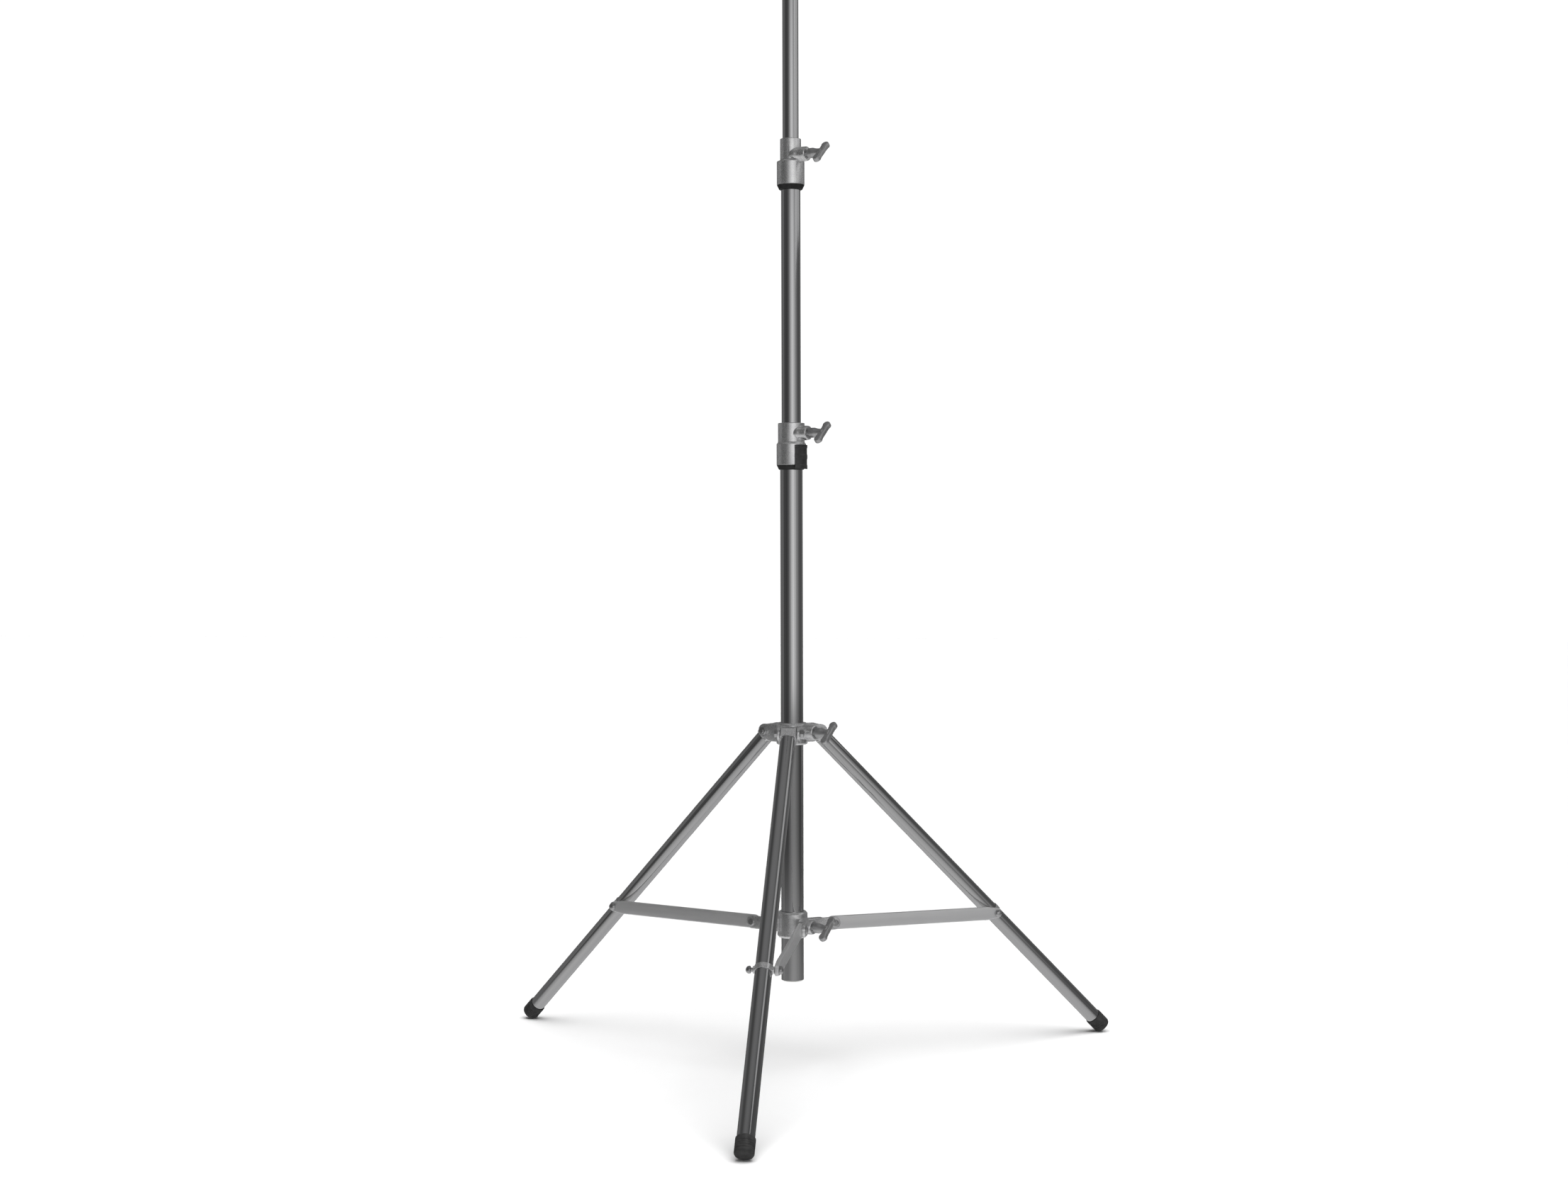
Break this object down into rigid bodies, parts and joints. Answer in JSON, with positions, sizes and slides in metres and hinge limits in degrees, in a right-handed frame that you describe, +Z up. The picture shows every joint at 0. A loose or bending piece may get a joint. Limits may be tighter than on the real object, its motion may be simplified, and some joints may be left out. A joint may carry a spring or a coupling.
{
  "type": "telescopic lighting stand",
  "caption": "Telescopic lighting stand: chromed mast with sliding risers clamped by wing screws, on a folding tripod base with braces, a sliding collar and rubber feet.",
  "frame": {"origin": "middle of the stand bounding box on the floor; the mast axis stands 138.40 mm towards +Y from it", "axes": "+Z up along the mast; one leg points along -Y, the others at 30 and 150 degrees from +X"},
  "size_m": [0.9916, 0.8626, 1.8613],
  "materials": {
    "chromed_tube": "polished chrome plate",
    "cast_collar": "satin casting",
    "brace_bar": "satin",
    "wing_knob": "grey die casting",
    "bolt_steel": "zinc plated",
    "black_plastic": "moulded",
    "pale_nylon": "moulded",
    "brass_pad": "machined",
    "black_rubber": "moulded"
  },
  "bodies": {
    "leg_collar": {"leg_collar": "cast_collar", "leg_collar_pad": "brass_pad", "leg_pivot_1_bolt": "bolt_steel", "leg_pivot_1_nut": "bolt_steel", "leg_pivot_2_bolt": "bolt_steel", "leg_pivot_2_nut": "bolt_steel", "leg_pivot_3_bolt": "bolt_steel", "leg_pivot_3_nut": "bolt_steel"},
    "mast": {"base_tube": "chromed_tube", "base_tube_plug": "pale_nylon", "lower_collar": "cast_collar", "lower_collar_bush": "pale_nylon", "lower_collar_cover": "black_plastic", "lower_collar_pad": "brass_pad"},
    "riser_1": {"riser_1_tube": "chromed_tube", "riser_1_guide": "pale_nylon", "upper_collar": "cast_collar", "upper_collar_bush": "pale_nylon", "upper_collar_pad": "brass_pad"},
    "riser_2": {"riser_2_tube": "chromed_tube", "riser_2_guide": "pale_nylon", "top_socket": "cast_collar", "top_stud": "bolt_steel"},
    "brace_collar": {"brace_collar": "cast_collar", "brace_collar_pad": "brass_pad", "brace_1_inner_rivet": "bolt_steel", "brace_2_inner_rivet": "bolt_steel", "brace_3_inner_rivet": "bolt_steel"},
    "leg_collar_knob": {"leg_collar_knob": "wing_knob", "leg_collar_screw": "bolt_steel"},
    "brace_collar_knob": {"brace_collar_knob": "wing_knob", "brace_collar_screw": "bolt_steel"},
    "lower_collar_knob": {"lower_collar_knob": "wing_knob", "lower_collar_screw": "bolt_steel"},
    "upper_collar_knob": {"upper_collar_knob": "wing_knob", "upper_collar_screw": "bolt_steel"},
    "leg_1": {"leg_1_tube": "chromed_tube", "leg_1_hinge_plug": "cast_collar", "leg_1_foot": "black_rubber", "leg_1_brace_clamp": "cast_collar", "leg_1_brace_bolt": "bolt_steel"},
    "brace_1": {"brace_1": "brace_bar", "brace_1_outer_rivet": "bolt_steel"},
    "leg_2": {"leg_2_tube": "chromed_tube", "leg_2_hinge_plug": "cast_collar", "leg_2_foot": "black_rubber", "leg_2_brace_clamp": "cast_collar", "leg_2_brace_bolt": "bolt_steel"},
    "brace_2": {"brace_2": "brace_bar", "brace_2_outer_rivet": "bolt_steel"},
    "leg_3": {"leg_3_tube": "chromed_tube", "leg_3_hinge_plug": "cast_collar", "leg_3_foot": "black_rubber", "leg_3_brace_clamp": "cast_collar", "leg_3_brace_bolt": "bolt_steel"},
    "brace_3": {"brace_3": "brace_bar", "brace_3_outer_rivet": "bolt_steel"}
  },
  "joints": [
    {"name": "mast_slide", "type": "slide", "parent": "leg_collar", "child": "mast", "axis": [0, 0, 1], "range_m": [-0.1, 0.055]},
    {"name": "riser_1_slide", "type": "slide", "parent": "mast", "child": "riser_1", "axis": [0, 0, 1], "range_m": [-0.359, 0.345]},
    {"name": "riser_2_slide", "type": "slide", "parent": "riser_1", "child": "riser_2", "axis": [0, 0, 1], "range_m": [-0.345, 0.345]},
    {"name": "brace_collar_slide", "type": "slide", "parent": "leg_collar", "child": "brace_collar", "axis": [0, 0, 1], "range_m": [0, 0.1584]},
    {"name": "leg_1_fold", "type": "hinge", "parent": "leg_collar", "child": "leg_1", "pos_m": [0, 0.0964, 0.52], "axis": [1, 0, 0], "range_deg": [0, 42]},
    {"name": "brace_1_swing", "type": "hinge", "parent": "brace_collar", "child": "brace_1", "pos_m": [0.019, 0.0784, 0.2191], "axis": [1, 0, 0], "range_deg": [0, 87.67]},
    {"name": "leg_2_fold", "type": "hinge", "parent": "leg_collar", "child": "leg_2", "pos_m": [0.03637, 0.1594, 0.52], "axis": [-0.5, 0.866, 0], "range_deg": [0, 42]},
    {"name": "brace_2_swing", "type": "hinge", "parent": "brace_collar", "child": "brace_2", "pos_m": [0.06146, 0.15195, 0.2191], "axis": [-0.5, 0.866, 0], "range_deg": [0, 87.67]},
    {"name": "leg_3_fold", "type": "hinge", "parent": "leg_collar", "child": "leg_3", "pos_m": [-0.03637, 0.1594, 0.52], "axis": [-0.5, -0.866, 0], "range_deg": [0, 42]},
    {"name": "brace_3_swing", "type": "hinge", "parent": "brace_collar", "child": "brace_3", "pos_m": [-0.06146, 0.15195, 0.2191], "axis": [-0.5, -0.866, 0], "range_deg": [0, 87.67]},
    {"name": "leg_collar_wing_screw", "type": "hinge", "parent": "leg_collar", "child": "leg_collar_knob", "pos_m": [0.0433, 0.1134, 0.52], "axis": [0.866, -0.5, 0], "continuous": true},
    {"name": "brace_collar_wing_screw", "type": "hinge", "parent": "brace_collar", "child": "brace_collar_knob", "pos_m": [0.0433, 0.1134, 0.2165], "axis": [0.866, -0.5, 0], "continuous": true},
    {"name": "lower_collar_wing_screw", "type": "hinge", "parent": "mast", "child": "lower_collar_knob", "pos_m": [0.0433, 0.1134, 0.984], "axis": [0.866, -0.5, 0], "continuous": true},
    {"name": "upper_collar_wing_screw", "type": "hinge", "parent": "riser_1", "child": "upper_collar_knob", "pos_m": [0.0433, 0.1134, 1.414], "axis": [0.866, -0.5, 0], "continuous": true}
  ],
  "couplings": [
    {"joint": "brace_collar_slide", "follows": "leg_1_fold", "m_per_rad": 0.21568},
    {"joint": "brace_1_swing", "follows": "leg_1_fold", "ratio": 2.0832},
    {"joint": "brace_2_swing", "follows": "leg_1_fold", "ratio": 2.0832},
    {"joint": "leg_2_fold", "follows": "leg_1_fold", "ratio": 1},
    {"joint": "brace_3_swing", "follows": "leg_1_fold", "ratio": 2.0832},
    {"joint": "leg_3_fold", "follows": "leg_1_fold", "ratio": 1}
  ]
}
